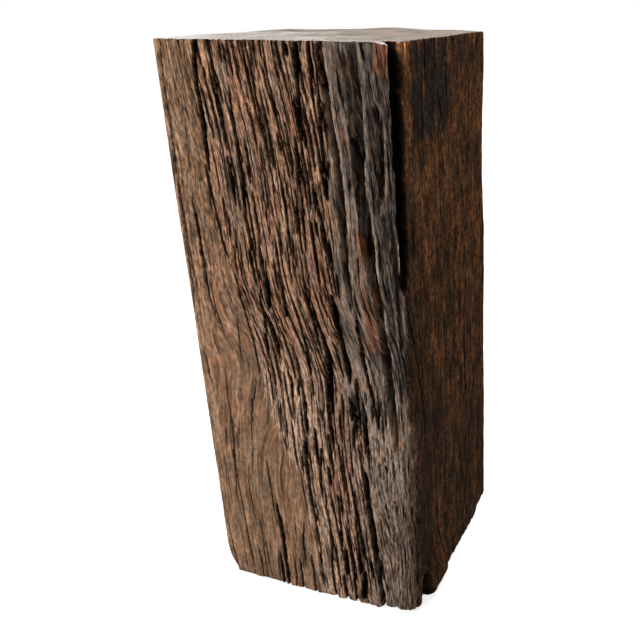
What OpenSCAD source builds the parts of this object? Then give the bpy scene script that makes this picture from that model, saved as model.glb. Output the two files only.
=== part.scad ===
// Column base: one squared block of reclaimed hardwood, standing on end.
// The grain runs up the block. Each face is a row of strands of sound wood parted by
// weathered grooves, and the front right corner is split, rounded and worn the most.

/* [Block] */
// Height from the foot to the sawn top
block_h = 650; // [400:10:900]
// Width along X
block_w = 260; // [200:5:400]
// Depth along Y
block_d = 260; // [200:5:400]

/* [Corners] */
// Radius of a sound corner
corner_r = 8; // [5:1:20]
// Radius of the worn front right corner at the top
worn_corner_top_r = 9; // [5:1:20]
// Radius of the worn front right corner at the foot
worn_corner_foot_r = 26; // [10:1:40]
// Extra radius of the back right corner where it is bitten away
bite_r = 18; // [0:1:30]
// Height of the middle of the bite
bite_z = 505; // [300:5:600]
// Height of the bite
bite_h = 170; // [60:5:300]
// Extra radius of the front left corner at the foot
foot_wear_r = 26; // [0:1:30]
// Height of that wear
foot_wear_h = 80; // [20:5:150]

/* [Grain] */
// Strands of sound wood on each face
strands = 12; // [8:1:14]
// How far the front face's grain leans to the right on its way down
lean_w = 44; // [0:2:60]
// Height at which the grain starts to lean
lean_top = 520; // [300:10:600]
// Height at which the grain runs straight down again
lean_foot = 240; // [50:10:290]
// How far a groove wanders to each side
wander_w = 1.5; // [0:0.1:2]
// Height of one wander
wander_h = 210; // [80:10:400]

/* [Weathering] */
// Width of an ordinary groove at the surface
groove_w = 6; // [3:0.5:8]
// Depth of an ordinary groove
groove_depth = 6; // [2:0.5:10]
// Depth to which the strands' faces have worn
strand_wear = 2.2; // [0:0.1:3]
// How far a strand's shoulders sit below its crown
shoulder_drop = 0.5; // [0.2:0.1:1]
// Depth of the worn arris round the top and the foot
arris_wear = 2; // [0.5:0.5:4]
// Height of the worn arris
arris_h = 5; // [2:1:10]

/* [Splits] */
// Width of the open split at the front right corner
corner_split_w = 10; // [4:0.5:12]
// Depth of the corner split
corner_split_depth = 30; // [10:1:40]
// Height at which the corner split ends
corner_split_foot = 300; // [100:10:390]
// Width of the slit at the foot of the front face
foot_slit_w = 8; // [3:0.5:10]
// Depth of the foot slit
foot_slit_depth = 20; // [8:1:30]
// Height to which the foot slit rises
foot_slit_top = 185; // [80:5:300]
// Width of the notch under the right face
foot_notch_w = 9; // [4:0.5:12]
// Depth of the foot notch
foot_notch_depth = 18; // [8:1:26]
// Height of the foot notch
foot_notch_top = 46; // [20:2:120]

/* [Resolution] */
// Rings of points between the two worn arrises
rings = 22; // [10:1:24]

/* [Hidden] */

// The faces, and each corner by the face that starts there
FRONT = 0;
RIGHT = 1;
BACK = 2;
LEFT = 3;
HALF_CORNER = 45; // degrees: each face holds half of the quarter turn at both of its ends
FULL_TURN = 360;

// A groove is [place in the room its strand leaves it, 0 to 1, width, depth, top, foot].
PLACE = 0;
WIDE = 1;
DEEP = 2;
TOP = 3;
FOOT = 4;
PAST_TOP = 1.3 * block_h;   // a groove that runs out through the top
PAST_FOOT = -0.3 * block_h; // a groove that runs out through the foot
GROOVE_TAPER = 0.6;         // below 1, a groove keeps its depth nearly to its ends

// The leaning grain takes in the front face's middle, as shares of its width.
LEAN_STARTS = 0.03;
LEAN_FULL = 0.3;
LEAN_FADES = 0.55;

// The front face's grooves from left to right. Its left third is nearly sound.
front_grooves = [
    [0.3, 0.5 * groove_w, 0.4 * groove_depth, 600, 380],
    [0.5, 0.5 * groove_w, 0.3 * groove_depth, 300, PAST_FOOT],
    [0.2, 0.9 * groove_w, 1.3 * groove_depth, PAST_TOP, 400],
    [0.4, 0.6 * groove_w, 0.7 * groove_depth, 560, PAST_FOOT],
    [0.5, 0.7 * groove_w, 1.0 * groove_depth, PAST_TOP, 330],
    [0.3, 0.9 * groove_w, 1.2 * groove_depth, 420, PAST_FOOT],
    [0.4, 1.0 * groove_w, 1.5 * groove_depth, PAST_TOP, 200],
    [0.3, 1.1 * groove_w, 1.5 * groove_depth, PAST_TOP, 330],
    [0.6, 1.3 * groove_w, 1.3 * groove_depth, PAST_TOP, 60],
    [0.1, foot_slit_w, foot_slit_depth, foot_slit_top, PAST_FOOT],
    [0.5, 1.4 * groove_w, 1.2 * groove_depth, 640, 260],
    [0.5, 0.6 * groove_w, 0.4 * groove_depth, 420, 40]
];
// The right face starts with the corner split, and the notch under its foot is next.
right_grooves = [
    [0.1, corner_split_w, corner_split_depth, PAST_TOP, corner_split_foot],
    [0.7, foot_notch_w, foot_notch_depth, foot_notch_top, -foot_notch_top]
];

// A repeatable number from low to high for each whole number n.
function chance(n, low = 0, high = 1) =
    let (wave = sin(n * 127.1 + 311.7) * 43758.5453)
    low + (high - low) * (wave - floor(wave));

// 0 below low, 1 above high and a smooth rise between.
function rise(low, high, x) =
    let (t = min(1, max(0, (x - low) / (high - low))))
    t * t * (3 - 2 * t);

// A hump from 0 to 1 and back between low and high.
function hump(low, high, x) = x <= low || x >= high ? 0 : sin(180 * (x - low) / (high - low));

function face_length(face) = face % 2 == 0 ? block_w : block_d;

// A different whole number for each strand of each face, to draw its chances from.
function strand_number(face, strand) = 100 * (face * strands + strand);

// The groove of a strand that isn't set out by hand: most are shallow and a few are deep.
function plain_groove(face, strand) =
    let (
        n = strand_number(face, strand),
        middle = chance(n + 1, 0, block_h),
        half_length = chance(n + 2, 0.2, 0.7) * block_h
    )
    [
        chance(n + 3, 0.2, 0.8),
        chance(n + 4, 0.5, 1) * groove_w,
        (0.3 + 0.8 * pow(chance(n + 5), 2)) * groove_depth,
        middle + half_length,
        middle - half_length
    ];

function groove(face, strand) =
    face == FRONT && strand < len(front_grooves) ? front_grooves[strand]
    : face == RIGHT && strand < len(right_grooves) ? right_grooves[strand]
    : plain_groove(face, strand);

// Radius of the corner at a face's start, at height z.
function corner_radius(corner, z) =
    corner == RIGHT ? worn_corner_foot_r + (worn_corner_top_r - worn_corner_foot_r) * z / block_h
    : corner == BACK ? corner_r + bite_r * hump(bite_z - bite_h / 2, bite_z + bite_h / 2, z)
    : corner == FRONT ? corner_r + foot_wear_r * (1 - rise(0, foot_wear_h, z))
    : corner_r;

// How far the front face's grain has drifted to the right at height z.
function grain_drift(face, along, z) =
    let (
        t = along / block_w,
        share = rise(LEAN_STARTS, LEAN_FULL, t) * (1 - rise(LEAN_FADES, 1, t))
    )
    face == FRONT ? lean_w * share * (1 - rise(lean_foot, lean_top, z)) : 0;

// How far a strand is worn back at height z: it comes and goes along the strand.
function face_wear(face, strand, z) =
    let (n = strand_number(face, strand), waves = chance(n + 6, 0.6, 1.6))
    strand_wear * max(0, sin(FULL_TURN * (chance(n + 7) + waves * z / block_h)));

function arris(z) = arris_wear * (1 - rise(0, arris_h, min(z, block_h - z)));

// The place [along the face, inward] of a point that lies sunk below the skin at height z.
function face_point(face, along, sunk, z) =
    let (
        size = face_length(face),
        start_r = corner_radius(face, z),
        end_r = corner_radius((face + 1) % 4, z),
        at_start = along < start_r,
        at_end = along > size - end_r,
        turn = at_start ? HALF_CORNER * (along / start_r - 1)
            : at_end ? HALF_CORNER * (1 - (size - along) / end_r)
            : 0,
        radius = at_start ? start_r : at_end ? end_r : 0,
        centre = at_start ? start_r : at_end ? size - end_r : along
    )
    [centre + (radius - sunk) * sin(turn), radius - (radius - sunk) * cos(turn)];

// The same place on the block.
function placed(face, p, z) =
    face == FRONT ? [p[0] - block_w / 2, p[1] - block_d / 2, z]
    : face == RIGHT ? [block_w / 2 - p[1], p[0] - block_d / 2, z]
    : face == BACK ? [block_w / 2 - p[0], block_d / 2 - p[1], z]
    : [p[1] - block_w / 2, block_d / 2 - p[0], z];

// The four columns of a strand at height z: its crown, then its groove's near lip, floor and far lip.
function strand_points(face, strand, z) =
    let (
        pitch = face_length(face) / strands,
        g = groove(face, strand),
        room = pitch - g[WIDE] - 2 * wander_w,
        wander = wander_w * sin(FULL_TURN * (z / wander_h + chance(strand_number(face, strand) + 8))),
        crown = strand * pitch,
        middle = crown + g[WIDE] / 2 + wander_w + room * g[PLACE] + wander,
        floor_depth = 2 * shoulder_drop + g[DEEP] * pow(hump(g[FOOT], g[TOP], z), GROOVE_TAPER)
    )
    [
        for (column = [
            [crown, 0],
            [middle - g[WIDE] / 2, shoulder_drop],
            [middle, floor_depth],
            [middle + g[WIDE] / 2, shoulder_drop]
        ])
        let (
            along = column[0] + grain_drift(face, column[0], z),
            sunk = column[1] + face_wear(face, strand, z) + arris(z)
        )
        placed(face, face_point(face, along, sunk, z), z)
    ];

// Heights of the rings: both ends, and even rings from one arris to the other.
ring_heights = [
    0,
    for (i = [0:rings]) arris_h + (block_h - 2 * arris_h) * i / rings,
    block_h
];

module timber_block() {
    points = [
        for (z = ring_heights, face = [FRONT:LEFT], strand = [0:strands - 1])
            each strand_points(face, strand, z)
    ];
    columns = len(points) / len(ring_heights);
    last_ring = len(points) - columns;
    skin = [
        for (ring = [0:columns:last_ring - columns], i = [0:columns - 1])
            let (
                a = ring + i,
                b = ring + (i + 1) % columns,
                c = b + columns,
                d = a + columns
            )
            each [[a, d, c], [a, c, b]]
    ];
    foot = [for (i = [0:columns - 1]) i];
    top = [for (i = [columns - 1:-1:0]) last_ring + i];
    color([0.36, 0.25, 0.17]) polyhedron(points, concat(skin, [foot, top]), convexity = 10);
}

timber_block();
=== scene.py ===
"""Looks for the column base: one squared block of old, deeply weathered hardwood standing on end."""

import math

import bpy
import numpy as np
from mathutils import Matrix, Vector
from mathutils.geometry import delaunay_2d_cdt


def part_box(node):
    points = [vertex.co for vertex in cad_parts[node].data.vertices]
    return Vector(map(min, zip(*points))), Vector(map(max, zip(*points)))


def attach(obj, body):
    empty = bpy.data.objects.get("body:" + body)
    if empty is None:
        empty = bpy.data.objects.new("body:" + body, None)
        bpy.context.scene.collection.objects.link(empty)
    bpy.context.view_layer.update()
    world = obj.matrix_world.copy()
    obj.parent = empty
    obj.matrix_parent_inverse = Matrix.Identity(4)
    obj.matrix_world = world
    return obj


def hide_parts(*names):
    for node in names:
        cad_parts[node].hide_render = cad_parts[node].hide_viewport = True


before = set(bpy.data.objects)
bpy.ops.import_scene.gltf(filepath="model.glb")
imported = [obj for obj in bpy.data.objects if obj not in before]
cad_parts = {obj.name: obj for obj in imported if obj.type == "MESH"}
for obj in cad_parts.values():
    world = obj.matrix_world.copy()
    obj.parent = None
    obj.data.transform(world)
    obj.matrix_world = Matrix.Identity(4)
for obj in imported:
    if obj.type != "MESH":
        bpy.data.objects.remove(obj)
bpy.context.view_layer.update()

NODE = "timber_block"

# ---------------------------------------------------------------------------------------------
# Sizes. Everything on the block is in millimetres until the mesh is made.
# A place on its sides is (round, down): round is the way round the block from the front left
# corner, along the front, right, back and left faces, and down is the way down from the top.
# ---------------------------------------------------------------------------------------------
MM = 0.001
LOW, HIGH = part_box(NODE)
WIDTH, DEPTH, HEIGHT = ((HIGH - LOW) / MM)[:]
AROUND = 2 * (WIDTH + DEPTH)
RIGHT = WIDTH                # where the right face starts on the way round
BACK = WIDTH + DEPTH
LEFT = 2 * WIDTH + DEPTH
CORNERS = (0.0, RIGHT, BACK, LEFT)

CORNER_R = 4.0
WORN_CORNER_TOP_R = 5.0
WORN_CORNER_FOOT_R = 24.0
BITE_R, BITE_DOWN, BITE_H = 9.0, 140.0, 190.0        # the hollow in the back right corner
FOOT_WEAR_R, FOOT_WEAR_H = 14.0, 55.0                # the worn foot of the front left corner
TOE_R, TOE_H = 9.0, 15.0                             # the rounding under the broad grey toe
LOBE_BULGE = 7.0             # how proud of the right face the foot's second lobe stands
LOBE_GAP_RISE = 7.0          # how far the gap between the toe and the lobe is worn up
FAR_CORNER_BREAK = 9.0       # how much is broken off under the back right corner
FOOT_WORN_UP, FOOT_WORN_REACH = 6.0, 190.0           # the foot's rise to the front left corner
TOP_SWELL, TOP_WAVES = 2.6, 0.7                      # how much the sawn top swells and ripples
TOP_DIP = 3.0                # how far it is worn down beside the corner split
TRIANGLES = 196_000          # kept in the finished mesh

# Steps of the grid that the relief is worked out on, for each face and for the rows
FACE_STEPS = (0.58, 0.85, 1.1, 1.1)
ROW_STEP = 1.5
END_ROWS = (0.0, 0.5, 1.2, 2.2, 3.4, 5.0)


# ---------------------------------------------------------------------------------------------
# Small tools
# ---------------------------------------------------------------------------------------------
def rise(low, high, x):
    """0 below low, 1 above high and a smooth step between."""
    t = np.clip((x - low) / (high - low), 0, 1)
    return t * t * (3 - 2 * t)


def band(low, high, soft, x):
    """1 between low and high, with soft edges outside them."""
    return rise(low - soft, low, x) * (1 - rise(high, high + soft, x))


def noise(across, along, cell_w, cell_h, seed):
    """Gradient noise from about -1 to 1 with cells cell_w by cell_h. It closes round the block.
    Each use has a seed of its own."""
    cells = round(AROUND / cell_w)
    x = across / AROUND * cells
    y = along / cell_h + 8
    rng = np.random.default_rng(seed)
    angle = rng.uniform(0, 2 * np.pi, (int(y.max()) + 3, cells))
    gx, gy = np.cos(angle), np.sin(angle)
    x0, y0 = np.floor(x).astype(int), np.floor(y).astype(int)
    fx, fy = x - x0, y - y0
    sx, sy = (f * f * f * (f * (f * 6 - 15) + 10) for f in (fx, fy))

    def corner(i, j):
        column, row = (x0 + i) % cells, y0 + j
        return gx[row, column] * (fx - i) + gy[row, column] * (fy - j)

    upper = corner(0, 0) * (1 - sx) + corner(1, 0) * sx
    lower = corner(0, 1) * (1 - sx) + corner(1, 1) * sx
    return 1.6 * (upper * (1 - sy) + lower * sy)


def blurred(field, columns, rows):
    """A field averaged over a window of so many columns and rows each way."""
    total = field.copy()
    for shift in range(1, columns + 1):
        total += np.roll(field, shift, 1) + np.roll(field, -shift, 1)
    total /= 2 * columns + 1
    padded = np.pad(total, ((rows, rows), (0, 0)), mode="edge")
    out = np.zeros_like(field)
    for shift in range(2 * rows + 1):
        out += padded[shift:shift + len(field)]
    return out / (2 * rows + 1)


# ---------------------------------------------------------------------------------------------
# The grid
# ---------------------------------------------------------------------------------------------
def grid():
    """All places (round, down), with shorter steps on the front and near the two ends."""
    face_lengths = (WIDTH, DEPTH, WIDTH, DEPTH)
    columns = []
    start = 0.0
    for length, step in zip(face_lengths, FACE_STEPS):
        count = round(length / step)
        columns.append(start + np.arange(0, length, length / count)[:count])
        start += length
    ends = np.array(END_ROWS)
    middle = np.linspace(ends[-1], HEIGHT - ends[-1], round((HEIGHT - 2 * ends[-1]) / ROW_STEP))
    rows = np.concatenate([ends[:-1], middle, HEIGHT - ends[-2::-1]])
    return np.meshgrid(np.concatenate(columns), rows)


S, DOWN = grid()     # both are [row from the top, column round the block]
UP = HEIGHT - DOWN


# ---------------------------------------------------------------------------------------------
# The grain: where the strands run. Each bend moves the front's strands to the right on their
# way down: (down from, down to, moved by).
# ---------------------------------------------------------------------------------------------
BENDS = (
    (0, 120, 16),
    (120, 235, 5),
    (235, 345, 30),
    (440, 650, 16),
)
BEND_FADES = (238, 350)      # the bends die out round the front right corner

# Where the nearly sound left of the front face ends: (down, round)
SOUND_EDGE = ((0, 42), (60, 44), (215, 57), (330, 79), (400, 86), (440, 96), (480, 122), (650, 132))
sound_down, sound_round = zip(*SOUND_EDGE)
SOUND = np.interp(DOWN, sound_down, sound_round) + 2.5 * noise(S, DOWN, 40, 60, 13)


def grain_place():
    """Which strand passes each place: the way round at which it starts on the top edge."""
    bend = np.zeros_like(S)
    for down_from, down_to, moved in BENDS:
        bend += moved * rise(down_from - 15, down_to + 15, DOWN)
    follows = np.clip(S / (46 + 36 * rise(100, 400, DOWN) + 52 * rise(330, 650, DOWN)), 0, 1)
    wander = 1.5 * noise(S, DOWN, 30, 90, 11) + 0.45 * noise(S, DOWN, 12, 34, 12)
    return S - bend * follows * (1 - rise(*BEND_FADES, S)) + wander


GRAIN = grain_place()

# Where each kind of surface is, from 0 to 1
ON_FRONT = 1 - rise(RIGHT - 12, RIGHT + 6, S)
STRANDED = rise(-4, 6, S - SOUND) * ON_FRONT                     # strands, most of them open
SUNKEN = rise(-5, 40, S - SOUND) * ON_FRONT                      # worn in, more and more to the right
SOUND_MASK = (1 - rise(-4, 6, S - SOUND)) * rise(-1, 1, S)       # the nearly sound left
RIDGED = band(186, RIGHT, 8, S) * (1 - rise(350, 420, DOWN))     # big grey ridges
# the broad grey foot below the ridges
BROAD = rise(198, 210, S) * (1 - rise(RIGHT - 4, RIGHT + 30, S)) * rise(350, 410, DOWN)
# the other three faces, and of these the back and the left, which are plainer
OTHER = rise(RIGHT - 6, RIGHT + 6, S) * (1 - rise(AROUND - 6, AROUND, S))
HIDDEN = rise(BACK - 4, BACK + 8, S) * (1 - rise(AROUND - 10, AROUND - 2, S))
# where strands have hardly opened: low down, and less so at their right
CLOSED_FOOT = rise(290, 420, DOWN) * (1 - (1 - 0.4 * rise(440, 540, DOWN)) * rise(146, 172, S))


# ---------------------------------------------------------------------------------------------
# Splits, cracks and troughs, listed one by one.
# Each is (width, depth, (round, down), (round, down), ...), from its top to its foot.
# ---------------------------------------------------------------------------------------------
TROUGHS = (     # wide and rounded: the hollows between the big ridges of the front's right side
    (9, 13, (181, -20), (185, 40), (191, 105), (194, 160), (194, 215), (198, 262)),
    (14, 14, (214, -20), (216, 60), (215, 130), (219, 170), (221, 215), (227, 245), (230, 282)),
    (11, 12, (229, 265), (235, 320), (238, 370), (241, 425)),
    (9, 7, (206, 10), (209, 45), (213, 95)),
    (8, 6, (236, 52), (240, 90), (237, 150)),
    (10, 5, (249, 150), (252, 215), (256, 300)),
)
CHECKS = (      # narrow and deep, black to the bottom
    # the sound left
    (2.2, 4.0, (10, -5), (7, 60), (7, 120), (8, 200), (10, 252)),
    (2.0, 1.6, (5, 280), (7, 335)),
    (1.4, 2.2, (29, 240), (33, 280), (39, 310)),
    (1.3, 1.8, (33, 350), (33, 410), (31, 455)),
    (1.4, 2.0, (30, 465), (32, 530), (35, 600), (36, 660)),
    (1.4, 2.2, (74, 462), (76, 520), (77, 562)),
    (1.3, 1.8, (58, 285), (57, 335)),
    (1.2, 1.8, (46, 500), (48, 565)),
    (1.2, 1.7, (16, 470), (18, 540)),
    (1.5, 2.0, (5, 556), (10, 600), (14, 660)),
    (2.2, 2.6, (47, 596), (50, 660)),
    (1.6, 1.9, (57, 572), (60, 622)),
    (4.0, 5.0, (77, 596), (79, 660)),
    (5.0, 8.0, (48, -5), (46, 20), (45, 44)),
    (4.8, 10.0, (46, 36), (47, 70), (47, 128)),
    (3.0, 6.0, (43, 120), (48, 165), (52, 200), (57, 220)),
    (2.2, 5.0, (63, 236), (65, 262), (70, 285), (76, 312), (79, 352)),
    (5.4, 8.0, (80, 524), (84, 570), (84, 620), (86, 665)),
    # the strands' top third
    (3.2, 8.0, (81, 40), (82, 100), (84, 140), (83, 172), (88, 210), (91, 240), (92, 266)),
    (3.0, 8.0, (103, -5), (109, 35), (112, 70), (115, 100), (120, 145)),
    (2.6, 7.0, (62, -5), (65, 30), (72, 90), (76, 140)),
    (2.6, 7.0, (127, 115), (131, 160), (133, 210)),
    (2.6, 6.0, (122, 15), (135, 95), (139, 130)),
    (4.2, 12.0, (155, -5), (157, 40), (156, 92)),
    (2.6, 8.0, (150, 88), (152, 120), (157, 160)),
    (2.4, 7.0, (147, 118), (150, 150), (150, 205)),
    (2.6, 8.0, (166, 140), (172, 180), (177, 222)),
    (3.0, 9.0, (178, 20), (177, 90), (180, 150)),
    (3.2, 8.0, (170, -5), (171, 40), (173, 75)),
    # the bend
    (6.5, 9.0, (98, 234), (99, 272)),
    (2.6, 7.0, (88, 255), (92, 290), (92, 332)),
    (4.0, 7.0, (117, 244), (120, 280)),
    (2.6, 7.0, (126, 252), (134, 280), (139, 308), (143, 345)),
    (3.0, 8.0, (143, 228), (148, 262), (153, 292), (158, 318)),
    (6.0, 13.0, (160, 292), (166, 330), (165, 392)),
    (6.8, 15.0, (175, 248), (182, 290), (187, 315), (190, 348)),
    (5.0, 13.0, (197, 340), (198, 412)),
    (4.6, 12.0, (202, 270), (207, 320), (212, 352)),
    (4.2, 11.0, (213, 346), (218, 378), (222, 400)),
    (2.6, 7.0, (127, 325), (131, 380), (132, 410)),
    (2.2, 6.0, (109, 345), (113, 405)),
    # the lower strands
    (4.6, 13.0, (125, 430), (127, 480), (129, 515), (133, 540)),
    (2.2, 6.0, (131, 535), (134, 575), (134, 625)),
    (3.2, 8.0, (146, 436), (143, 470), (144, 505)),
    (3.4, 9.0, (147, 505), (149, 540), (150, 570), (148, 600), (152, 665)),
    (2.6, 7.0, (157, 415), (160, 475)),
    (3.0, 8.0, (163, 495), (164, 570)),
    (4.0, 9.0, (172, 535), (176, 580), (178, 665)),
    (7.0, 11.0, (168, 572), (168, 612)),
    (5.0, 9.0, (185, 566), (185, 606)),
    (8.0, 10.0, (191, 598), (187, 646)),
    (3.8, 9.0, (180, 462), (186, 510), (191, 562), (193, 582)),
    (5.0, 8.0, (201, 462), (203, 478)),
    (8.5, 26.0, (200, 458), (204, 515), (208, 570), (212, 610), (219, 700)),
    (2.6, 6.0, (104, 600), (106, 665)),
    (2.6, 6.0, (120, 590), (124, 665)),
    (4.0, 8.0, (163, 610), (166, 665)),
    # the right face
    (3.0, 4.0, (RIGHT + 125, 22), (RIGHT + 126, 60)),
    (3.6, 4.0, (RIGHT + 106, 58), (RIGHT + 112, 82)),
    (3.6, 5.0, (RIGHT + 178, 182), (RIGHT + 179, 245)),
    (5.0, 8.0, (RIGHT + 178, 300), (RIGHT + 175, 350), (RIGHT + 176, 400), (RIGHT + 180, 440),
     (RIGHT + 182, 462)),
    (3.2, 5.0, (RIGHT + 164, 540), (RIGHT + 172, 590), (RIGHT + 177, 625)),
    (3.4, 4.0, (RIGHT + 66, 455), (RIGHT + 70, 560), (RIGHT + 77, 612)),
    (4.0, 3.5, (RIGHT + 4, 255), (RIGHT + 20, 310), (RIGHT + 32, 360), (RIGHT + 38, 405),
     (RIGHT + 38, 450)),
    (25.0, 26.0, (RIGHT + 27, 602), (RIGHT + 29, 700)),
)
PAINTED_EDGE_LINES = (  # painted highlights, thin pale lines along the crests: the depth is how strongly they show
    (2.4, 0.9, (222, 50), (222, 130), (226, 170), (228, 215), (234, 270), (240, 330), (246, 380),
     (250, 430)),
    (2.2, 0.9, (186, -10), (190, 50), (196, 110), (199, 160), (199, 215), (203, 262)),
    (1.6, 0.6, (203, 20), (206, 70), (204, 110)),
    (1.6, 0.6, (236, 20), (233, 46), (238, 60)),
    (1.8, 0.7, (207, 180), (209, 240), (214, 300)),
    (1.8, 0.6, (238, 190), (246, 260), (252, 330)),
)
CORNER_SPLIT = (19, 32, (RIGHT, -90), (RIGHT + 1, 60), (RIGHT + 2, 130), (RIGHT + 2, 240))

# Cracks set out by chance along the grain, in lanes side by side.
# (from, to along the way round, from, to down, spacing, length, width, depth)
STRAND_LANES = (40, 225, -25, 675, 4.9, 46, 1.6, 6.5)
LANES_BETWEEN = (44, 225, -25, 675, 9.5, 30, 2.6, 8.0)
DARK_LANES = (110, 190, -25, 675, 7.6, 60, 2.3, 11.0)
RIDGE_LANES = (170, 262, -25, 430, 8, 30, 1.2, 1.5)
BROAD_LANES = (130, 262, 350, 675, 7, 20, 1.6, 2.0)
SOUND_LANES = (2, 90, -25, 675, 12, 80, 1.0, 1.5)
RIGHT_LANES = (RIGHT + 14, BACK, -25, 675, 13, 60, 1.7, 2.2)
PLAIN_LANES = (BACK, AROUND, -25, 675, 17, 90, 1.7, 2.6)

# How far to the left and right of its lane the wandering and the bends can take a crack
LANE_LEFT, LANE_RIGHT = 10, 82

# Chips out of the top edge: (round, width, drop)
TOP_CHIPS = (
    (RIGHT + 112, 8, 1.6), (RIGHT + 146, 11, 5.0), (RIGHT + 186, 12, 6.0), (RIGHT + 220, 10, 3.4),
    (RIGHT + 62, 10, 1.4), (30, 6, 0.7), (154, 6, 1.0), (100, 5, 0.8), (212, 6, 1.0),
    (BACK + 80, 12, 2.0), (BACK + 190, 9, 2.5), (LEFT + 60, 10, 2.0), (LEFT + 170, 8, 1.5),
)


def carved(mark, roundness):
    """Depth of one listed mark over the whole grid. roundness shapes its cross-section."""
    width, depth, *points = mark
    rounds, downs = zip(*points)
    top, foot = downs[0], downs[-1]
    centre = np.interp(DOWN, downs, rounds) + 0.9 * WOBBLE + 0.6 * JAGS
    along = np.clip((DOWN - top) / (foot - top), 0, 1)
    taper = np.clip(4 * along * (1 - along), 0, 1) ** 0.45
    half = 0.5 * width * (0.35 + 0.65 * taper) * (1 + 0.22 * WOBBLE_FINE)
    across = np.clip(np.abs(S - centre) / half, 0, 1)
    return depth * taper * (1 - across ** 2) ** roundness


def lane_cracks(lanes, seed, kept=0.85):
    """Depth of short cracks, pointed at both ends, that follow the grain."""
    first, last, top, foot, spacing, length, width, depth = lanes
    rng = np.random.default_rng(seed)
    field = np.zeros_like(S)
    place = first
    while place < last:
        down = top - rng.uniform(0, length)
        while down < foot:
            long = length * rng.uniform(0.4, 1.9)
            size = np.clip(rng.lognormal(0, 0.45), 0.4, 2.0)
            if rng.uniform() < kept:
                start = place + spacing * rng.uniform(-0.35, 0.35)
                rows = slice(*np.searchsorted(DOWN[:, 0], (down, down + long)))
                columns = slice(*np.searchsorted(S[0], (start - LANE_LEFT, start + LANE_RIGHT)))
                t = (DOWN[rows, columns] - down) / long
                taper = np.sqrt(np.clip(4 * t * (1 - t), 0, 1))
                centre = start + rng.uniform(-1.5, 1.5) * t
                across = (JAGGED_GRAIN[rows, columns] - centre) / (0.5 * width * size * taper + 0.01)
                bite = depth * size * taper * np.sqrt(np.clip(1 - across ** 2, 0, 1))
                field[rows, columns] = np.maximum(field[rows, columns], bite)
            down += long * rng.uniform(0.95, 1.3)
        place += spacing * rng.uniform(0.75, 1.25)
    return field


# ---------------------------------------------------------------------------------------------
# The relief: how far the surface lies inside the squared block
# ---------------------------------------------------------------------------------------------
WOBBLE = noise(S, DOWN, 35, 60, 21)
WOBBLE_FINE = noise(S, DOWN, 10, 26, 22)
JAGS = noise(S, DOWN, 5, 9, 23)
JAGGED_GRAIN = GRAIN + 0.7 * JAGS


def relief():
    """How far the skin is sunk in, and the cracks and troughs that are part of it."""
    waves = 0.7 * noise(S, DOWN, 95, 260, 51) + 0.35 * noise(S, DOWN, 40, 110, 52)
    heights = 0.9 * noise(GRAIN, DOWN, 6, 85, 53) + 1.3 * noise(GRAIN, DOWN, 15, 130, 54)
    fibres = 0.45 * np.abs(noise(GRAIN, DOWN, 3.6, 40, 41)) + 0.3 * np.abs(noise(GRAIN, DOWN, 2.2, 16, 42))
    fibres *= 1 - 0.8 * HIDDEN
    knobs = 0.9 * noise(GRAIN, DOWN, 8, 22, 55) + 0.6 * noise(GRAIN, DOWN, 3.6, 9, 56)
    splinters = 0.55 * noise(GRAIN, DOWN, 3.2, 13, 43)
    sunken = SUNKEN * (1 - 0.5 * RIDGED) * (1 - 0.7 * BROAD)
    base = 0.5 + waves + fibres + (1.2 + heights * (1 - 0.6 * RIDGED)) * sunken + splinters * STRANDED
    base += 1.3 * RIDGED * noise(GRAIN, DOWN, 4.2, 55, 58)
    base += knobs * (0.8 * RIDGED + 1.5 * BROAD + 0.3 * (OTHER - HIDDEN))
    base += 2.4 * BROAD * np.clip(noise(GRAIN, DOWN, 13, 34, 57), 0, 1)

    open_strands = STRANDED * (1 - 0.96 * RIDGED) * (1 - 0.93 * BROAD) * (1 - 0.75 * CLOSED_FOOT)
    beside_toe = rise(180, 192, S) * rise(440, 500, DOWN)
    darkest = rise(140, 152, S) * (1 - 0.85 * rise(430, 520, DOWN))
    cracks = np.max([
        lane_cracks(STRAND_LANES, 1) * open_strands * (1 - 0.55 * beside_toe),
        lane_cracks(LANES_BETWEEN, 2, 0.3) * open_strands,
        lane_cracks(DARK_LANES, 8, 0.45) * open_strands * darkest,
        lane_cracks(RIDGE_LANES, 3, 0.6) * RIDGED,
        lane_cracks(BROAD_LANES, 4, 0.5) * BROAD,
        lane_cracks(SOUND_LANES, 5, 0.55) * SOUND_MASK,
        lane_cracks(RIGHT_LANES, 6, 0.45),
        lane_cracks(PLAIN_LANES, 7, 0.7),
    ], axis=0)
    troughs = np.max([carved(mark, 0.65) for mark in TROUGHS], axis=0)
    checks = np.max([carved(mark, 0.5) for mark in CHECKS], axis=0)
    cracks = np.maximum(cracks, checks)
    return np.maximum(base, 0) + troughs + cracks, cracks, troughs


def arris():
    """The worn and broken edges at the two sawn ends, less the bulge of the foot's second lobe."""
    edge = 0.7 + 0.8 * noise(GRAIN, DOWN, 8, 900, 61)
    ragged = 1.2 + 1.6 * noise(GRAIN, DOWN, 11, 900, 62) * np.clip(STRANDED + 0.4, 0, 1)
    top = (1 - rise(0, 2.6, DOWN)) * edge * 0.8
    foot = (1 - rise(0, 5.5, UP)) * ragged
    toe = band(216, RIGHT + 90, 12, S)
    quarter_round = 1 - np.sqrt(np.clip(1 - (1 - np.clip(UP / TOE_H, 0, 1)) ** 2, 0, 1))
    lobe = LOBE_BULGE * band(RIGHT + 44, RIGHT + 84, 9, S) * rise(HEIGHT - 90, HEIGHT - 20, DOWN)
    return np.maximum(top, 0) + np.maximum(foot, 0) + TOE_R * toe * quarter_round - lobe


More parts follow.
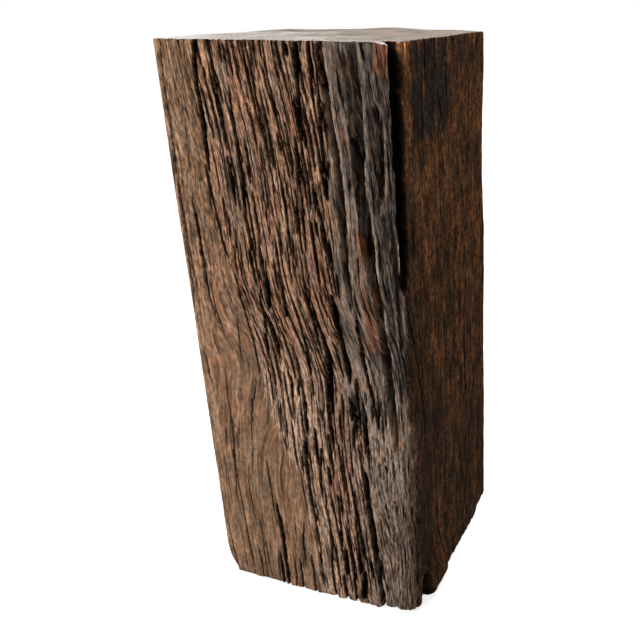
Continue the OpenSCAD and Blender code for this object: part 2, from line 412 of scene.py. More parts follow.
def edge_drop():
    """How far the top edge is chipped down."""
    drop = 0.7 * np.abs(noise(S, DOWN * 0, 7, 100, 63))
    for place, width, depth in TOP_CHIPS:
        drop = np.maximum(drop, depth * np.clip(1 - np.abs(S - place) / (0.5 * width), 0, 1))
    return drop


def foot_lift():
    """How far the foot's edge is worn or broken up: strand by strand on the front, less elsewhere."""
    steps = noise(GRAIN, DOWN * 0, 17, 100, 64)
    strand_by_strand = 1.2 + 2.2 * rise(-0.25, 0.25, steps) + 1.2 * noise(GRAIN, DOWN * 0, 8, 100, 65)
    near_corner = 1 - rise(4, 40, np.minimum(S, AROUND - S))
    plain = 0.6 * band(222, RIGHT + 90, 8, S) + 0.7 * band(RIGHT + 98, AROUND, 8, S)
    gap = LOBE_GAP_RISE * band(RIGHT + 22, RIGHT + 32, 5, S)
    broken = 3.0 * np.abs(noise(S, DOWN * 0, 12, 100, 66)) * band(RIGHT + 98, BACK, 8, S)
    broken += FAR_CORNER_BREAK * band(RIGHT + 226, BACK + 10, 9, S)
    return np.maximum(strand_by_strand, 0) * (1 - plain) + 5.0 * near_corner + gap + broken


SUNK, CRACKS, TROUGH = relief()
SUNK = SUNK + arris()
SPLIT = carved(CORNER_SPLIT, 0.6)


# ---------------------------------------------------------------------------------------------
# From (round, down, sunk) to a point of the block
# ---------------------------------------------------------------------------------------------
def corner_radius(corner, down):
    """Radius of one of the four upright edges, all the way down."""
    if corner == RIGHT:
        return WORN_CORNER_TOP_R + (WORN_CORNER_FOOT_R - WORN_CORNER_TOP_R) * (down / HEIGHT) ** 1.3
    if corner == BACK:
        bite = np.clip(1 - ((down - BITE_DOWN) / (BITE_H / 2)) ** 2, 0, 1)
        return CORNER_R + BITE_R * bite
    if corner == 0.0:
        return CORNER_R + FOOT_WEAR_R * rise(HEIGHT - FOOT_WEAR_H, HEIGHT, down) ** 1.5
    return CORNER_R + 0 * down


def skin_point(s, down, sunk, split):
    """x and y of a point of the sides. The split cuts straight in along its corner's diagonal."""
    face = np.searchsorted(CORNERS, s, side="right") - 1
    length = np.where(face % 2 == 0, WIDTH, DEPTH)
    along = s - np.take(CORNERS, face)
    x, y = np.zeros_like(s), np.zeros_like(s)
    for f in range(4):
        here = face == f
        a, d, size = along[here], down[here], length[here]
        first = corner_radius(CORNERS[f], d)
        last = corner_radius(CORNERS[(f + 1) % 4], d)
        at_start, at_end = a < first, a > size - last
        radius = np.where(at_start, first, np.where(at_end, last, 0))
        into_start = a / np.maximum(first, 1) - 1
        into_end = 1 - (size - a) / last
        turn = np.where(at_start, into_start, np.where(at_end, into_end, 0)) * math.pi / 4
        centre = np.where(at_start, first, np.where(at_end, size - last, a))
        # Inward directions turn more gently than the skin does, so that deep points don't cross
        reach = np.maximum(radius, 20)
        lean = np.where(a < size / 2, -(1 - rise(3, reach, a)), 1 - rise(3, reach, size - a)) * math.pi / 4
        p = centre + radius * np.sin(turn) - sunk[here] * np.sin(lean)
        q = radius * (1 - np.cos(turn)) + sunk[here] * np.cos(lean)
        p -= split[here] * np.sign(lean) * math.sin(math.pi / 4)
        q += split[here] * math.cos(math.pi / 4)
        half_w, half_d = WIDTH / 2, DEPTH / 2
        px, py = (
            (p - half_w, q - half_d),
            (half_w - q, p - half_d),
            (half_w - p, half_d - q),
            (q - half_w, half_d - p),
        )[f]
        x[here], y[here] = px, py
    return x, y


X, Y = skin_point(S, DOWN, SUNK, SPLIT)


def foot_level(x, y):
    """Height of the foot, which is worn up a little towards the front left corner."""
    from_corner = np.hypot(x + WIDTH / 2, 1.6 * (y + DEPTH / 2))
    return FOOT_WORN_UP * (1 - rise(0, FOOT_WORN_REACH, from_corner))


def top_level(x, y):
    """Height of the sawn top, which is a little wavy and higher towards the back."""
    u, v = x / WIDTH + 0.5, y / DEPTH + 0.5
    swell = TOP_SWELL * np.sin(math.pi * np.clip(1.3 * u - 0.25, 0, 1)) * rise(0.2, 0.95, v)
    waves = TOP_WAVES * np.sin(17 * u + 5 * v) * np.sin(6 * v + 3 * u) * rise(0.02, 0.4, v)
    dip = TOP_DIP * np.exp(-((x - WIDTH / 2 + 10) ** 2 + (y + DEPTH / 2 + 2) ** 2) / 70)
    return HEIGHT + swell + waves - dip


# ---------------------------------------------------------------------------------------------
# The mesh: the sides' grid and two sawn ends that share its first and last rows
# ---------------------------------------------------------------------------------------------
def end_cap(row, spacing):
    """Triangles over one end: the row's outline filled with evenly spaced points."""
    rim = [Vector((x, y)) for x, y in zip(X[row], Y[row])]
    n = len(rim)
    half_w, half_d = WIDTH / 2 - spacing, DEPTH / 2 - spacing
    inner = [
        Vector((x + (0.5 * spacing if j % 2 else 0), y))
        for j, y in enumerate(np.arange(-half_d, half_d, spacing * 0.87))
        for x in np.arange(-half_w, half_w, spacing)
    ]
    outline = [(i, (i + 1) % n) for i in range(n)]
    points, _, faces, origin, _, _ = delaunay_2d_cdt(rim + inner, outline, [], 1, 1e-5)
    return points, faces, origin, n


def block_mesh():
    """Points and triangles of the whole closed block."""
    rows, columns = S.shape
    level = UP + (top_level(X, Y) - HEIGHT) * (1 - rise(0, 60, DOWN))
    level += foot_level(X, Y) * (1 - rise(0, 60, UP))
    level += foot_lift() * (1 - rise(0, 22, UP)) - edge_drop() * (1 - rise(0, 14, DOWN))
    verts = [np.stack([X, Y, level], -1).reshape(-1, 3)]
    i = np.arange(columns)
    j = (i + 1) % columns
    quads = np.concatenate([
        np.stack([r * columns + i, (r + 1) * columns + i, (r + 1) * columns + j, r * columns + j], 1)
        for r in range(rows - 1)
    ])
    faces = [np.concatenate([quads[:, [0, 1, 2]], quads[:, [0, 2, 3]]])]
    for row, spacing in ((0, 2.2), (rows - 1, 5.0)):
        points, cap, origin, rim_count = end_cap(row, spacing)
        xy = np.array(points)
        start = sum(len(v) for v in verts)
        index = np.empty(len(points), int)
        fresh = []
        for k, source in enumerate(origin):
            on_rim = [o for o in source if o < rim_count]
            if on_rim:
                index[k] = row * columns + on_rim[0]
            else:
                index[k] = start + len(fresh)
                fresh.append(k)
        z = (top_level if row == 0 else foot_level)(xy[:, 0], xy[:, 1])
        verts.append(np.column_stack([xy, z])[fresh])
        tris = index[np.array(cap)]
        faces.append(tris if row == 0 else tris[:, ::-1])
    return np.concatenate(verts), np.concatenate(faces)


VERTS, FACES = block_mesh()


# ---------------------------------------------------------------------------------------------
# Colours, worked out for each point of the grid
# ---------------------------------------------------------------------------------------------
def colour(red, green, blue):
    """A colour as it is seen, 0 to 255, turned to the linear values that shaders take."""
    c = np.array([red, green, blue]) / 255
    return np.where(c <= 0.04045, c / 12.92, ((c + 0.055) / 1.055) ** 2.4)


TAN = colour(125, 98, 77)
PALE_TAN = colour(142, 112, 89)
WORN_TAN = colour(180, 150, 128)
STRAND = colour(151, 119, 97)
RED_BROWN = colour(155, 106, 80)
GREY = colour(126, 108, 96)
ASH = colour(140, 122, 108)
CHARCOAL = colour(44, 39, 37)
BLACKENED = colour(36, 31, 28)
RUST = colour(132, 84, 58)
FRESH = colour(200, 140, 95)
UMBER = colour(104, 67, 37)
OLIVE = colour(67, 44, 22)
SAP = colour(108, 74, 44)
DRY_SAP = colour(112, 80, 56)
SOOT = colour(31, 21, 12)
# dirt and painted shade for the cracks, the troughs, the split and the hollows
DIRT_AND_SHADE = colour(14, 8, 5)
# painted highlight for the skin where it stands proud
PAINTED_CREST_HIGHLIGHT = colour(156, 125, 100)
# painted highlight colour for the thin lines along the crests
PAINTED_EDGE_HIGHLIGHT = colour(164, 150, 138)
SAWN = colour(150, 134, 116)
# near white for the painted sheen and the painted glints on the top
SHEEN_WHITE = colour(236, 232, 225)
UNDER = colour(92, 72, 56)
STAINED = colour(122, 84, 56)
BROWN_RIM = colour(112, 84, 62)
END_CHECK = colour(38, 26, 18)
CROSS_CHECK = colour(40, 26, 17)
DARK_HAIR = colour(26, 17, 11)
PALE_HAIR = colour(176, 156, 138)
CRACK = colour(18, 11, 7)
WARMED, COOLED = (1.10, 0.985, 0.88), (0.94, 1.0, 1.05)      # what a tint is multiplied by

PATCHES = (     # (colour, strength, round from, to, down from, to, softness)
    (RUST, 0.8, 239, 250, -20, 24, 3),
    (RUST, 0.9, 209, 219, 182, 240, 4),
    (RUST, 0.9, 213, 223, 235, 300, 4),
    (RUST, 0.7, 203, 211, 18, 32, 4),
    (RUST, 0.8, 179, 184, 80, 92, 3),
    (RUST, 0.8, 200, 206, 82, 94, 3),
    (FRESH, 0.8, 242, 248, 398, 414, 2),
    (RUST, 0.5, 144, 180, 458, 503, 9),
    (RUST, 0.4, 178, 186, -20, 60, 4),
    (RUST, 0.4, 146, 160, 40, 110, 6),
    (UMBER, 0.6, 215, 232, 500, 590, 6),
    (CHARCOAL, 0.8, 201, 216, 92, 135, 6),
    (CHARCOAL, 0.9, 222, 248, 60, 235, 5),
    (CHARCOAL, 0.7, 196, 210, 10, 60, 6),
    (CHARCOAL, 0.85, 238, 262, 215, 345, 7),
    (CHARCOAL, 0.35, 216, 240, 170, 320, 8),
    (SOOT, 0.2, 148, 184, 150, 310, 10),
    (ASH, 0.75, 186, 216, 330, 640, 10),
    (WORN_TAN, 0.15, 96, 184, -20, 150, 12),
    (DRY_SAP, 0.3, RIGHT + 12, RIGHT + 44, 20, 150, 6),
    (DRY_SAP, 0.22, RIGHT + 40, RIGHT + 120, 96, 180, 12),
    (DRY_SAP, 0.18, RIGHT + 150, RIGHT + 250, -20, 130, 16),
    (FRESH, 1.0, RIGHT + 9, RIGHT + 34, -20, 12, 1.5),
    (RUST, 0.35, RIGHT + 68, RIGHT + 80, 500, 620, 4),
    (RUST, 0.5, RIGHT + 55, RIGHT + 72, 215, 240, 5),
    (BLACKENED, 1.0, RIGHT + 34, RIGHT + 130, 4, 94, 2.5),
    (BLACKENED, 0.6, RIGHT + 130, RIGHT + 190, -20, 60, 9),
    (CHARCOAL, 0.15, RIGHT + 2, RIGHT + 60, 300, 480, 20),
    (CHARCOAL, 0.5, 216, 262, 470, 640, 12),
    (SOOT, 0.25, RIGHT + 60, RIGHT + 230, 340, 640, 20),
)


def mix(base, other, amount):
    """One colour mixed into others, by an amount from 0 to 1 at each point."""
    return base + (other - base) * np.clip(amount, 0, 1)[..., None]


def layered(tint, layers):
    """Colours mixed in one after another, each by its amount."""
    for shade, amount in layers:
        tint = mix(tint, shade, amount)
    return tint


def front_tints(tint, broad, speckle, streak):
    """The front face: pale sound wood at its left, brown strands, grey ridges and the grey foot."""
    browner = SOUND_MASK * rise(45, 60, S) * rise(260, 340, DOWN) * (1 - rise(440, 500, DOWN))
    brown_strands = STRANDED * (1 - RIDGED)
    strandwise = noise(GRAIN, DOWN, 6, 70, 77)
    greyed = rise(-0.05, 0.45, strandwise - 0.2 * broad)
    reddened = rise(0.1, 0.6, -strandwise) * (1 - rise(150, 420, DOWN))
    return layered(tint, (
        (PALE_TAN, 0.6 * band(-30, 14, 8, S) + 0.35 * rise(0, 0.6, streak)),
        (RED_BROWN, 0.15 * SOUND_MASK * rise(0.0, 0.6, broad)),
        (STRAND, STRANDED),
        (UNDER, 0.35 * browner),
        (RED_BROWN, 0.7 * brown_strands * rise(-0.3, 0.6, broad + 0.5 * speckle + 0.15)),
        (GREY, 0.9 * RIDGED + 0.6 * STRANDED * greyed),
        (RUST, 0.45 * brown_strands * reddened),
        (CHARCOAL, 0.85 * RIDGED * rise(-0.15, 0.4, noise(GRAIN, DOWN, 9, 60, 79))),
        (ASH, 0.7 * RIDGED * rise(0.15, 0.55, noise(GRAIN, DOWN, 3.4, 34, 80))),
        (CHARCOAL, 0.65 * RIDGED * rise(212, 222, S) * (1 - rise(310, 360, DOWN))),
        (WORN_TAN, 0.85 * STRANDED * CLOSED_FOOT),
        (ASH, 0.95 * BROAD),
        (GREY, 0.8 * BROAD * rise(430, 560, DOWN)),
    ))


def side_tints(tint, broad, streak):
    """The other three faces: brown, mottled with olive and soot, and darker towards the foot."""
    side = OTHER * (1 - 0.75 * BROAD)
    in_corner = band(RIGHT, RIGHT + 45, 15, S) * rise(120, 220, DOWN)
    return layered(tint, (
        (UMBER, side),
        (OLIVE, side * rise(-0.3, 0.5, broad + 0.5 * streak)),
        (SOOT, 0.75 * side * rise(0.05, 0.6, noise(GRAIN, DOWN, 20, 55, 74))),
        (SOOT, 0.6 * side * rise(0.1, 0.4, noise(GRAIN, DOWN, 9, 26, 76))),
        (SAP, 0.42 * side * rise(0.15, 0.6, noise(GRAIN, DOWN, 13, 40, 78))),
        (RUST, 0.08 * side * rise(0.2, 0.7, noise(GRAIN, DOWN, 9, 45, 75))),
        (SOOT, 0.5 * side * rise(120, 560, DOWN) + 0.35 * side * in_corner),
    ))


def patched(tint, speckle, streak):
    """The listed patches, with borders that stray more on the bigger ones."""
    for shade, strength, s0, s1, d0, d1, soft in PATCHES:
        stray = 0.5 * soft + 0.05 * (s1 - s0)
        place = band(s0, s1, soft, S + stray * WOBBLE_FINE)
        place *= band(d0, d1, 2 * soft, DOWN + 2 * stray * streak)
        tint = mix(tint, shade, strength * place * rise(-0.8, 0.1, speckle))
    return tint


def painted_light_and_dirt(tint):
    """Painted highlights where the skin stands proud, on the troughs' lit lips and along the crests,
    painted shade in the hollows, and dirt with painted shade in the cracks, the troughs and the split.
    """
    proud = np.clip((blurred(SUNK, 8, 3) - SUNK) / 1.6, -1, 1)
    crest, hollow = np.clip(proud, 0, 1), np.clip(-proud, 0, 1)
    on_front = 1 - 0.75 * OTHER
    # painted highlight: the lip just right of each trough, which faces the light from the left
    lit_lip = np.clip(np.roll(TROUGH, 6, 1) - 1.5 * TROUGH, 0, 4) / 4
    # dirt and painted shade in the cracks, spread one column to each side
    dirt_and_shade = rise(0.3, 2.2, CRACKS)
    beside = 0.5 * np.maximum(np.roll(dirt_and_shade, 1, 1), np.roll(dirt_and_shade, -1, 1))
    return layered(tint, (
        # painted highlight: paler where the skin stands proud of its surroundings
        (PAINTED_CREST_HIGHLIGHT, 0.35 * on_front * (1 - 0.8 * RIDGED) * crest),
        # painted highlight on the troughs' lit lips, in ash grey
        (ASH, 0.6 * lit_lip * RIDGED),
        # painted highlights along the crests
        (PAINTED_EDGE_HIGHLIGHT, np.max([carved(mark, 0.5) for mark in PAINTED_EDGE_LINES], axis=0)),
        # dirt with painted shade in the cracks, painted shade alone in the hollows, then the troughs and
        # the split
        (DIRT_AND_SHADE, 0.96 * np.maximum(dirt_and_shade, beside) + 0.35 * hollow),
        (DIRT_AND_SHADE, 0.6 * rise(2, 10, TROUGH)),
        (DIRT_AND_SHADE, rise(2, 9, SPLIT)),
    ))


def tints():
    """The colour of each point of the grid, before the material's own fine grain."""
    speckle = noise(GRAIN, DOWN, 10, 40, 71)
    broad = noise(S, DOWN, 60, 150, 72)
    streak = noise(GRAIN, DOWN, 5, 110, 73)
    tint = np.broadcast_to(TAN, S.shape + (3,)).copy()
    tint = front_tints(tint, broad, speckle, streak)
    tint = side_tints(tint, broad, streak)
    return painted_light_and_dirt(patched(tint, speckle, streak))


TINT = tints()


# ---------------------------------------------------------------------------------------------
# The Blender piece
# ---------------------------------------------------------------------------------------------
def fibre_place():
    """Where each grid point lies in the wood's grain, in mm: a cylinder, so that it has no seam."""
    angle = GRAIN / AROUND * 2 * math.pi
    radius = AROUND / (2 * math.pi)
    return np.stack([radius * np.cos(angle), radius * np.sin(angle), UP], -1).reshape(-1, 3)


def add_attribute(mesh, name, kind, values):
    attribute = mesh.attributes.new(name, kind, "POINT")
    key = {"FLOAT_COLOR": "color", "FLOAT_VECTOR": "vector", "FLOAT": "value"}[kind]
    attribute.data.foreach_set(key, np.ascontiguousarray(values, dtype=np.float32).ravel())


def shader_masks():
    """Where the side material shows each kind of fine grain, from 0 to 1."""
    fine = SOUND_MASK * (1 - 0.8 * rise(200, 380, DOWN)) + STRANDED + 0.6 * OTHER
    cracked = STRANDED + 0.5 * OTHER + 0.6 * SOUND_MASK * (1 - rise(230, 380, DOWN))
    return {
        "openness": np.clip(cracked, 0, 1),
        "lumpy": np.clip(BROAD + 0.4 * RIDGED + 0.4 * OTHER, 0, 1),
        "fine": np.clip(fine, 0, 1),
        "sound": SOUND_MASK * rise(250, 400, DOWN),
        "other": OTHER,
    }


def mark_ends(mesh):
    """Gives the faces of the two sawn ends the second material."""
    count = len(mesh.polygons)
    normal = np.empty(count * 3, np.float32)
    centre = np.empty(count * 3, np.float32)
    mesh.polygons.foreach_get("normal", normal)
    mesh.polygons.foreach_get("center", centre)
    up, z = normal.reshape(-1, 3)[:, 2], centre.reshape(-1, 3)[:, 2] / MM
    at_end = (np.abs(up) > 0.8) & ((z < 8) | (z > HEIGHT - 6))
    mesh.polygons.foreach_set("material_index", at_end.astype(np.int32))


def make_block():
    mesh = bpy.data.meshes.new("weathered_block_full")
    mesh.vertices.add(len(VERTS))
    mesh.vertices.foreach_set("co", (VERTS * MM).ravel())
    mesh.loops.add(FACES.size)
    mesh.loops.foreach_set("vertex_index", FACES.ravel())
    mesh.polygons.add(len(FACES))
    mesh.polygons.foreach_set("loop_start", np.arange(0, FACES.size, 3))
    mesh.update()
    side_count = S.size
    ends = VERTS[side_count:]
    ends_tint = np.column_stack([np.broadcast_to(SAWN, (len(ends), 3)), np.ones(len(ends))])
    side_tint = np.column_stack([TINT.reshape(-1, 3), np.ones(side_count)])
    add_attribute(mesh, "tint", "FLOAT_COLOR", np.concatenate([side_tint, ends_tint]))
    add_attribute(mesh, "fibre", "FLOAT_VECTOR", np.concatenate([fibre_place(), ends]))
    for name, field in shader_masks().items():
        add_attribute(mesh, name, "FLOAT", np.concatenate([field.ravel(), np.zeros(len(ends))]))
    full = bpy.data.objects.new("weathered_block_full", mesh)
    bpy.context.collection.objects.link(full)
    thin = full.modifiers.new("thin", "DECIMATE")
    thin.ratio = TRIANGLES / len(FACES)
    graph = bpy.context.evaluated_depsgraph_get()
    kept = bpy.data.meshes.new_from_object(full.evaluated_get(graph))
    kept.name = "weathered_block"
    kept.set_sharp_from_angle(angle=math.radians(38))
    mark_ends(kept)
    bpy.data.objects.remove(full)
    bpy.data.meshes.remove(mesh)
    block = bpy.data.objects.new("weathered_block", kept)
    bpy.context.collection.objects.link(block)
    return block


# ---------------------------------------------------------------------------------------------
# Material
# ---------------------------------------------------------------------------------------------
class Nodes:
    """A short way to add and join shader nodes."""

    def __init__(self, material):
        material.use_nodes = True
        self.tree = material.node_tree
        self.tree.nodes.clear()

    def add(self, kind, inputs=None, **settings):
        node = self.tree.nodes.new(kind)
        for name, value in settings.items():
            setattr(node, name, value)
        for name, value in (inputs or {}).items():
            if isinstance(value, bpy.types.NodeSocket):
                self.tree.links.new(value, node.inputs[name])
            else:
                node.inputs[name].default_value = value
        return node

    def attribute(self, name, output):
        return self.add("ShaderNodeAttribute", attribute_name=name).outputs[output]

    def math(self, operation, a, b=0.0):
        return self.add("ShaderNodeMath", {0: a, 1: b}, operation=operation).outputs[0]

    def product(self, first, *others):
        for other in others:
            first = self.math("MULTIPLY", first, other)
        return first

    def total(self, first, *others):
        for other in others:
            first = self.math("ADD", first, other)
        return first

    def vector(self, operation, *inputs):
        return self.add("ShaderNodeVectorMath", dict(enumerate(inputs)), operation=operation).outputs

    def scaled(self, place, factor):
        return self.add("ShaderNodeVectorMath", {0: place, "Scale": factor}, operation="SCALE").outputs[0]

    def noise(self, place, scale, detail=2.0, rough=0.5):
        return self.add(
            "ShaderNodeTexNoise", {"Vector": place, "Scale": scale, "Detail": detail, "Roughness": rough}
        ).outputs

    def grain(self, place, across_mm, along_mm, detail=2.0, rough=0.5):
        """Noise stretched along the grain, 0 to 1."""
        squeezed = self.vector("MULTIPLY", place, (1 / across_mm, 1 / across_mm, 1 / along_mm))[0]
        return self.noise(squeezed, 1.0, detail, rough)["Fac"]

    def ramp(self, value, low, high, to_low=0.0, to_high=1.0):
        return self.add(
            "ShaderNodeMapRange",
            {"Value": value, "From Min": low, "From Max": high, "To Min": to_low, "To Max": to_high},
            clamp=True,
        ).outputs["Result"]

    def blend(self, factor, a, b):
        """A number that is a where factor is 0 and b where it is 1."""
        return self.add("ShaderNodeMix", {"Factor": factor, 2: a, 3: b}).outputs[0]

    def grey(self, value):
        """The colour with this value in all three channels."""
        return self.add("ShaderNodeCombineColor", {"Red": value, "Green": value, "Blue": value}).outputs[0]

    def matt(self, base, roughness, specular, height, strength, distance):
        """A dielectric surface with bump, as the material's output."""
        bump = self.add("ShaderNodeBump", {"Height": height, "Strength": strength, "Distance": distance})
        shader = self.add(
            "ShaderNodeBsdfPrincipled",
            {"Base Color": base, "Roughness": roughness, "Normal": bump.outputs[0]},
        )
        shader.inputs["Specular IOR Level"].default_value = specular
        self.add("ShaderNodeOutputMaterial", {"Surface": shader.outputs[0]})

    def mixed(self, factor, a, b, blend="MIX"):
        node = self.add("ShaderNodeMix", {"Factor": factor}, data_type="RGBA", blend_type=blend)
        for socket, value in ((node.inputs[6], a), (node.inputs[7], b)):
            if isinstance(value, bpy.types.NodeSocket):
                self.tree.links.new(value, socket)
            else:
                socket.default_value = value
        return node.outputs[2]


def rgba(rgb):
    return (*rgb, 1.0)


def grey_value(v):
    return (v, v, v, 1.0)


SIDE_BUMP, END_BUMP = 0.0013, 0.0012  # how deep the materials' own relief is, in metres


def side_material():
    """Weathered long grain. Its patterns run along the wood's fibres, and masks say where each shows."""
    material = bpy.data.materials.new("weathered_side")
    n = Nodes(material)
    fibre = n.attribute("fibre", "Vector")
    tint = n.attribute("tint", "Color")
    openness, lumpy, fine, sound, other = (
        n.attribute(name, "Fac") for name in ("openness", "lumpy", "fine", "sound", "other")
    )

    streaks = n.grain(fibre, 1.7, 36, 2.0, 0.5)
    broad = n.grain(fibre, 6, 80, 2.0)
    pores = n.grain(fibre, 2.0, 7, 1.5, 0.5)
    mottle = n.grain(fibre, 4.5, 34, 3.0, 0.6)
    lumps = n.grain(fibre, 3.6, 8, 3.0, 0.6)
    blotches = n.ramp(n.grain(fibre, 13, 22, 3.0, 0.6), 0.34, 0.66, 0.4, 1.6)
    flecks = n.ramp(n.grain(fibre, 5, 5, 1.5, 0.5), 0.34, 0.66, 0.45, 1.55)
    hue = n.ramp(n.grain(fibre, 3.0, 26, 3.0, 0.6), 0.38, 0.62)
    cross_checks = n.ramp(n.grain(fibre, 8, 1.3, 2.0), 0.66, 0.70)
    dark_hairs = n.ramp(n.grain(fibre, 1.6, 60, 1.0), 0.63, 0.66)
    pale_hairs = n.ramp(n.grain(fibre, 2.1, 18, 2.0), 0.56, 0.62)
    cracks = n.ramp(n.grain(fibre, 2.2, 46, 2.0), 0.60, 0.63)

    strong_streaks = n.ramp(streaks, 0.25, 0.75, 0.45, 1.55)
    faint_streaks = n.ramp(streaks, 0.25, 0.75, 0.7, 1.3)
    faint_pores = n.ramp(pores, 0.3, 0.7, 0.8, 1.2)
    strong_pores = n.ramp(pores, 0.35, 0.65, 0.45, 1.4)
    light = n.product(
        n.blend(other, strong_streaks, faint_streaks),
        n.ramp(broad, 0.3, 0.7, 0.85, 1.15),
        n.blend(fine, faint_pores, strong_pores),
        n.ramp(mottle, 0.3, 0.7, 0.72, 1.28),
    )
    light = n.blend(lumpy, light, n.ramp(lumps, 0.3, 0.7, 0.35, 1.65))
    light = n.product(light, n.blend(other, 1.0, n.product(blotches, flecks)))

    warm = n.mixed(1.0, tint, rgba(WARMED), "MULTIPLY")
    cool = n.mixed(1.0, tint, rgba(COOLED), "MULTIPLY")
    hue = n.product(hue, n.ramp(other, 0.0, 1.0, 1.0, 0.5))
    base = n.mixed(1.0, n.mixed(hue, warm, cool), n.grey(light), "MULTIPLY")
    base = n.mixed(n.product(cross_checks, sound, 0.5), base, rgba(CROSS_CHECK))
    base = n.mixed(n.product(dark_hairs, 0.6), base, rgba(DARK_HAIR))
    base = n.mixed(n.product(cracks, openness, 0.85), base, rgba(CRACK))
    paled = n.product(pale_hairs, n.product(lumpy, 1.1), n.ramp(other, 0.0, 1.0, 0.5, 0.06))
    base = n.mixed(paled, base, rgba(PALE_HAIR))

    height = n.total(
        n.product(streaks, 1.2),
        n.product(pores, n.ramp(fine, 0.0, 1.0, 1.0, 2.0)),
        n.product(mottle, 0.8),
        n.product(lumps, lumpy, 2.5),
        n.product(cracks, -0.6),
    )
    n.matt(base, n.ramp(streaks, 0.3, 0.7, 0.84, 0.96), 0.04, height, 1.0, SIDE_BUMP)
    return material


HEART = (34.0, 58.0, 0.0)             # the middle of the growth rings, in mm
TIP = (116.0, -130.0, HEIGHT)         # where a painted sheen lies on the tip of wood beside the corner split, in mm
CHECK_RUN = 260.0                     # how far a check runs before it has drifted aside, in mm


def ring_checks(n, place, heart):
    """Thin checks that run out from the heart of the rings, here and there."""
    outward = n.scaled(n.vector("NORMALIZE", heart)[0], 5.0)
    reach = n.vector("LENGTH", heart)["Value"]
    along = n.add("ShaderNodeCombineXYZ", {"Z": n.math("DIVIDE", reach, CHECK_RUN)}).outputs[0]
    rays = n.noise(n.vector("ADD", outward, along)[0], 1.0, 1.0)["Fac"]
    broken = n.noise(place, 0.03, 2.0)["Fac"]
    thin = n.ramp(n.math("ABSOLUTE", n.math("SUBTRACT", rays, 0.5)), 0.003, 0.009, 1.0, 0.0)
    return n.product(thin, n.ramp(broken, 0.47, 0.55), n.ramp(reach, 6.0, 30.0))


def end_material():
    """Sawn end grain: growth rings round a heart that lies off the middle, dark checks and stains.
    The top has a painted near-white sheen at its left and by the split's tip, painted glints, and is brown
    along its far rim, and the underside is plain brown."""
    material = bpy.data.materials.new("sawn_end")
    n = Nodes(material)
    place = n.add("ShaderNodeTexCoord").outputs["Object"]
    place = n.scaled(place, 1 / MM)
    x, y, z = n.add("ShaderNodeSeparateXYZ", {0: place}).outputs
    heart = n.vector("MULTIPLY", n.vector("SUBTRACT", place, HEART)[0], (1.0, 1.0, 0.0))[0]
    bent = n.scaled(n.noise(heart, 0.012, 2.0)["Color"], 60.0)
    rings = n.add(
        "ShaderNodeTexWave",
        {
            "Vector": n.vector("ADD", heart, bent)[0],
            "Scale": 0.045,
            "Distortion": 0.8,
            "Detail": 1.0,
            "Detail Scale": 0.4,
        },
        wave_type="RINGS",
        rings_direction="Z",
    ).outputs["Fac"]
    checks = ring_checks(n, place, heart)
    specks = n.noise(place, 0.35, 4.0, 0.7)["Fac"]
    stains = n.noise(place, 0.02, 4.0, 0.6)["Fac"]
    clouds = n.noise(place, 0.045, 3.0)["Fac"]
    at_top = n.ramp(z, 0.4 * HEIGHT, 0.6 * HEIGHT)

    light = n.product(
        n.ramp(rings, 0.0, 1.0, 0.84, 1.08),
        n.ramp(specks, 0.35, 0.65, 0.62, 1.3),
        n.ramp(stains, 0.36, 0.64, 0.55, 1.25),
    )
    rightward = n.total(x, n.product(y, 0.9), n.ramp(stains, 0.3, 0.7, -30.0, 30.0))
    # painted sheen: near white over the top's front left corner, paler along its left and at the split's
    # tip
    sheen_corner = n.ramp(rightward, -0.75 * WIDTH, -0.5 * WIDTH, 1.0, 0.0)
    sheen_left = n.ramp(rightward, -0.3 * WIDTH, 0.1 * WIDTH, 0.35, 0.0)
    to_tip = n.vector("DISTANCE", place, TIP)["Value"]
    painted_sheen = n.math("MAXIMUM", sheen_corner, sheen_left)
    painted_sheen = n.math("MAXIMUM", painted_sheen, n.ramp(to_tip, 9.0, 18.0, 0.9, 0.0))
    painted_sheen = n.product(painted_sheen, n.ramp(specks, 0.3, 0.6, 0.7, 1.0))
    stained = n.product(n.ramp(stains, 0.44, 0.62), n.ramp(rightward, -0.1 * WIDTH, 0.3 * WIDTH, 0.3, 0.85))
    backward = n.total(y, n.ramp(specks, 0.3, 0.7, -10.0, 10.0), n.product(x, -0.5))
    rim = n.product(n.ramp(backward, 0.3 * WIDTH, 0.42 * WIDTH, 0.0, 0.8), at_top)
    to_front_left = n.ramp(n.total(y, x), -0.1 * WIDTH, 0.1 * WIDTH, 1.0, 0.1)
    # painted glints: near-white flecks of sheen on the top, fading towards the back right
    painted_glints = n.product(n.ramp(clouds, 0.46, 0.64), at_top, 0.4, to_front_left)

    # the painted sheen goes in here
    tint = n.mixed(painted_sheen, rgba(SAWN), rgba(SHEEN_WHITE))
    tint = n.mixed(stained, tint, rgba(STAINED))
    tint = n.mixed(at_top, rgba(UNDER), tint)
    tint = n.mixed(rim, tint, rgba(BROWN_RIM))
    # the painted glints go in last
    tint = n.mixed(painted_glints, tint, rgba(SHEEN_WHITE))
    base = n.mixed(1.0, tint, n.grey(light), "MULTIPLY")
    base = n.mixed(n.product(checks, 0.8), base, rgba(END_CHECK))
    height = n.total(n.product(specks, 0.6), n.product(stains, 2.0), n.product(checks, -1.0))
    n.matt(base, n.ramp(stains, 0.38, 0.62, 0.7, 0.42), 0.3, height, 0.6, END_BUMP)
    return material


block = make_block()
block.data.materials.append(side_material())
block.data.materials.append(end_material())
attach(block, "root")
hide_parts(NODE)


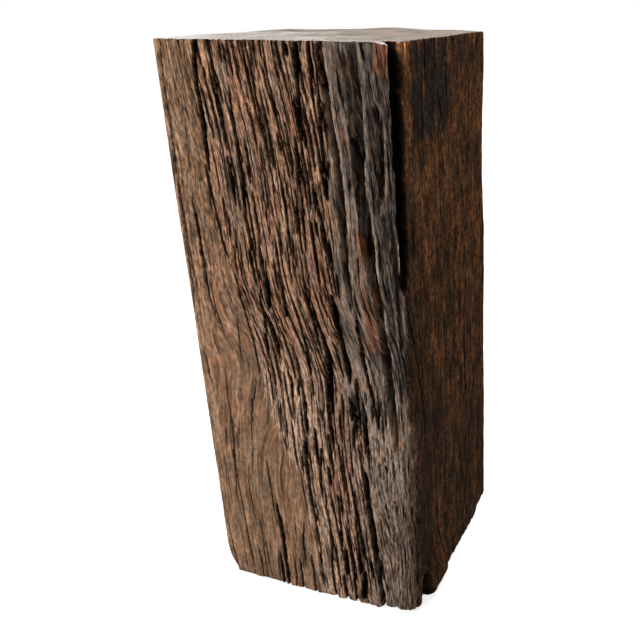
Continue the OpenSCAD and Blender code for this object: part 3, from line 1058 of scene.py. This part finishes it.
# ---------------------------------------------------------------------------------------------
# Camera, floor and light
# ---------------------------------------------------------------------------------------------
CAMERA_AT = (0.658, -1.244, 1.056)       # in block heights from the middle of the foot
CAMERA_LEFT = 17.7                        # degrees to the left of straight at the front face
CAMERA_PITCH = 22.2                       # degrees down
LENS, SENSOR = 44.4, 36.0                 # in mm
SHIFT = -0.256                            # the view moved aside, as a share of its width
AMBIENT = 0.42                            # how strongly the white surroundings light the block
FLOOR_HALF = 12.0                         # half the width of the floor, in metres
FLOOR_GLOW = 0.72                         # what the floor adds of its own to look white


def make_camera():
    data = bpy.data.cameras.new("camera")
    data.lens, data.sensor_width, data.shift_x = LENS, SENSOR, SHIFT
    camera = bpy.data.objects.new("camera", data)
    camera.location = Vector(CAMERA_AT) * HEIGHT * MM
    camera.rotation_euler = (math.radians(90 - CAMERA_PITCH), 0, math.radians(CAMERA_LEFT))
    bpy.context.collection.objects.link(camera)
    bpy.context.scene.camera = camera


def area_light(name, place, target, size, power):
    """A square lamp that faces its target, in metres and watts."""
    data = bpy.data.lights.new(name, "AREA")
    data.shape, data.size, data.energy = "SQUARE", size, power
    lamp = bpy.data.objects.new(name, data)
    lamp.location = place
    lamp.rotation_euler = (Vector(target) - Vector(place)).to_track_quat("-Z", "Y").to_euler()
    bpy.context.collection.objects.link(lamp)


def seen_directly(n):
    """1 where a thing is looked at straight, mirrored or through glass, and 0 for its light."""
    path = n.add("ShaderNodeLightPath").outputs
    mirrored = n.math("MAXIMUM", path["Is Glossy Ray"], path["Is Transmission Ray"])
    return n.math("MAXIMUM", path["Is Camera Ray"], mirrored)


def make_world():
    world = bpy.data.worlds.new("studio")
    bpy.context.scene.world = world
    n = Nodes(world)
    soft = n.add("ShaderNodeBackground", {"Color": grey_value(1.0), "Strength": AMBIENT}).outputs[0]
    white = n.add("ShaderNodeBackground", {"Color": grey_value(1.0), "Strength": 1.0}).outputs[0]
    both = n.add("ShaderNodeMixShader", {0: seen_directly(n), 1: soft, 2: white}).outputs[0]
    n.add("ShaderNodeOutputWorld", {"Surface": both})


def make_floor():
    mesh = bpy.data.meshes.new("floor")
    half = FLOOR_HALF
    corners = [(-half, -half, 0), (half, -half, 0), (half, half, 0), (-half, half, 0)]
    mesh.from_pydata(corners, [], [(0, 1, 2, 3)])
    floor = bpy.data.objects.new("floor", mesh)
    bpy.context.collection.objects.link(floor)
    material = bpy.data.materials.new("floor")
    n = Nodes(material)
    lit = n.add("ShaderNodeBsdfDiffuse", {"Color": grey_value(0.8)}).outputs[0]
    glow = n.add("ShaderNodeEmission", {"Color": grey_value(1.0), "Strength": FLOOR_GLOW}).outputs[0]
    extra = n.add("ShaderNodeMixShader", {0: seen_directly(n), 2: glow}).outputs[0]
    both = n.add("ShaderNodeAddShader", {0: lit, 1: extra}).outputs[0]
    n.add("ShaderNodeOutputMaterial", {"Surface": both})
    mesh.materials.append(material)


make_camera()
make_world()
make_floor()
area_light("key", place=(-1.5, -1.7, 1.7), target=(0, 0, 0.35), size=1.1, power=62)
area_light("overhead", place=(0.3, 1.0, 1.9), target=(0, 0, 0.5), size=1.0, power=14)
bpy.context.scene.view_settings.view_transform = "Standard"
